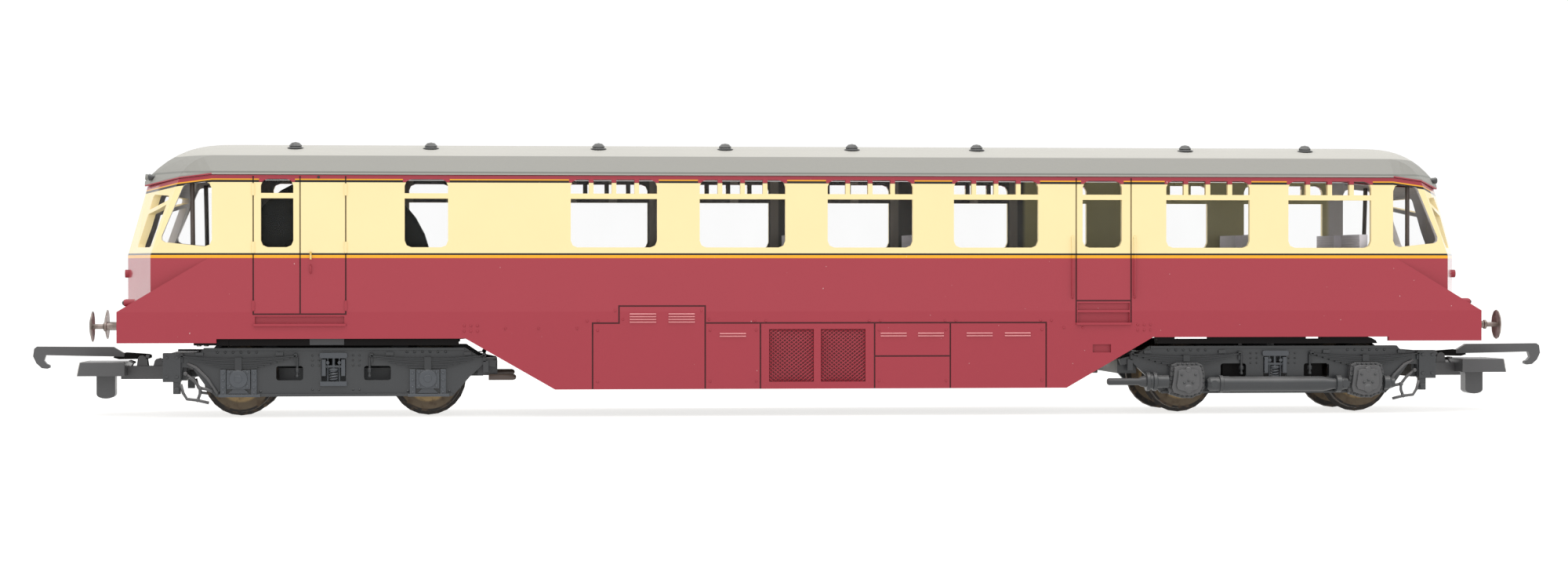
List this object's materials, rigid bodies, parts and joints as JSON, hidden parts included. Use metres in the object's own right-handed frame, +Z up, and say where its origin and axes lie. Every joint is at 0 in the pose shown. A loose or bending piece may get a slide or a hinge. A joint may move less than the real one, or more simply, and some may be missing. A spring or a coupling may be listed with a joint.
{
  "type": "model railcar",
  "caption": "Streamlined double-ended model railway coach with a powered bogie, a trailing bogie, glazed saloon and hook-and-bar couplings.",
  "frame": {"origin": "midway along the car on its centre line, at the bottom of the wheel flanges", "axes": "+X along the car towards the trailing bogie, +Y across it to the far side, +Z up"},
  "size_m": [0.2852, 0.0368, 0.05],
  "materials": {
    "body_paint": "satin painted moulding in cream over crimson with lining",
    "roof_paint": "matt grey paint",
    "vent_grey": "matt dark grey paint",
    "wheel_steel": "blackened metal, tarnished brown",
    "buffer_steel": "dull turned metal",
    "bright_steel": "turned steel",
    "coupling_black": "satin moulding",
    "glazing": "clear moulding",
    "seat_grey": "self-coloured moulding",
    "chassis_black": "self-coloured moulding",
    "bogie_grey": "satin moulding",
    "ballast_steel": "mill finish",
    "gear_nylon": "self-coloured moulding",
    "brass": "machined",
    "copper": "windings and brushes"
  },
  "bodies": {
    "coach": {"ballast_weight": "ballast_steel", "body_shell": "body_paint", "buffer_left_far": "buffer_steel", "buffer_left_near": "buffer_steel", "buffer_right_far": "buffer_steel", "buffer_right_near": "buffer_steel", "cab_glazing_left": "glazing", "cab_glazing_right": "glazing", "chassis": "chassis_black", "glazing_far": "glazing", "glazing_near": "glazing", "interior": "seat_grey", "pivot_pin": "bright_steel", "roof": "roof_paint", "roof_vent_1": "vent_grey", "roof_vent_2": "vent_grey", "roof_vent_3": "vent_grey", "roof_vent_4": "vent_grey", "roof_vent_5": "vent_grey", "roof_vent_6": "vent_grey", "roof_vent_7": "vent_grey", "roof_vent_8": "vent_grey", "roof_vent_far": "vent_grey"},
    "motor_bogie": {"brush_cover": "chassis_black", "brush_lower": "copper", "brush_upper": "copper", "gear_cover": "bogie_grey", "motor_bogie_frame": "bogie_grey", "motor_case": "chassis_black", "motor_end_coupling_bar": "coupling_black", "motor_side_far": "bogie_grey", "motor_side_near": "bogie_grey", "motor_turntable": "bogie_grey", "ring_magnet": "ballast_steel"},
    "trailing_bogie": {"cardan_shaft": "bogie_grey", "trailing_bogie_frame": "bogie_grey", "trailing_end_coupling_bar": "coupling_black", "trailing_side_far": "bogie_grey", "trailing_side_near": "bogie_grey"},
    "wheelset_1": {"axle_1": "bright_steel", "axle_gear_1": "gear_nylon", "wheel_1_far": "wheel_steel", "wheel_1_near": "wheel_steel"},
    "wheelset_2": {"axle_2": "bright_steel", "axle_gear_2": "gear_nylon", "wheel_2_far": "wheel_steel", "wheel_2_near": "wheel_steel"},
    "wheelset_3": {"axle_3": "bright_steel", "wheel_3_far": "wheel_steel", "wheel_3_near": "wheel_steel"},
    "wheelset_4": {"axle_4": "bright_steel", "wheel_4_far": "wheel_steel", "wheel_4_near": "wheel_steel"},
    "armature": {"armature_core": "copper", "armature_shaft": "bright_steel", "motor_pinion": "brass"},
    "idler_1": {"idler_gear_1": "gear_nylon"},
    "idler_2": {"idler_gear_2": "gear_nylon"},
    "motor_end_hook": {"motor_end_hook": "coupling_black"},
    "trailing_end_hook": {"trailing_end_hook": "coupling_black"}
  },
  "joints": [
    {"name": "motor_bogie_swing", "type": "hinge", "parent": "coach", "child": "motor_bogie", "pos_m": [-0.087, 0, 0.0146], "axis": [0, 0, 1], "range_deg": [-10, 10]},
    {"name": "trailing_bogie_swing", "type": "hinge", "parent": "coach", "child": "trailing_bogie", "pos_m": [0.087, 0, 0.0146], "axis": [0, 0, 1], "range_deg": [-10, 10]},
    {"name": "wheelset_1_spin", "type": "hinge", "parent": "motor_bogie", "child": "wheelset_1", "pos_m": [-0.104, 0, 0.00685], "axis": [0, 1, 0], "continuous": true},
    {"name": "wheelset_2_spin", "type": "hinge", "parent": "motor_bogie", "child": "wheelset_2", "pos_m": [-0.07, 0, 0.00685], "axis": [0, 1, 0], "continuous": true},
    {"name": "wheelset_3_spin", "type": "hinge", "parent": "trailing_bogie", "child": "wheelset_3", "pos_m": [0.07, 0, 0.00685], "axis": [0, 1, 0], "continuous": true},
    {"name": "wheelset_4_spin", "type": "hinge", "parent": "trailing_bogie", "child": "wheelset_4", "pos_m": [0.104, 0, 0.00685], "axis": [0, 1, 0], "continuous": true},
    {"name": "armature_spin", "type": "hinge", "parent": "motor_bogie", "child": "armature", "pos_m": [-0.087, 0, 0.0266], "axis": [0, 1, 0], "continuous": true},
    {"name": "idler_1_spin", "type": "hinge", "parent": "motor_bogie", "child": "idler_1", "pos_m": [-0.09749, 0, 0.01981], "axis": [0, 1, 0], "continuous": true},
    {"name": "idler_2_spin", "type": "hinge", "parent": "motor_bogie", "child": "idler_2", "pos_m": [-0.07651, 0, 0.01981], "axis": [0, 1, 0], "continuous": true},
    {"name": "motor_end_hook_lift", "type": "hinge", "parent": "motor_bogie", "child": "motor_end_hook", "pos_m": [-0.1216, 0, 0.0107], "axis": [0, 1, 0], "range_deg": [0, 18]},
    {"name": "trailing_end_hook_lift", "type": "hinge", "parent": "trailing_bogie", "child": "trailing_end_hook", "pos_m": [0.1216, 0, 0.0107], "axis": [0, -1, 0], "range_deg": [0, 18]}
  ],
  "couplings": [
    {"joint": "idler_1_spin", "follows": "wheelset_1_spin", "ratio": -0.52632},
    {"joint": "armature_spin", "follows": "wheelset_1_spin", "ratio": 1.6667},
    {"joint": "idler_2_spin", "follows": "wheelset_1_spin", "ratio": -0.52632},
    {"joint": "wheelset_2_spin", "follows": "wheelset_1_spin", "ratio": 1}
  ]
}
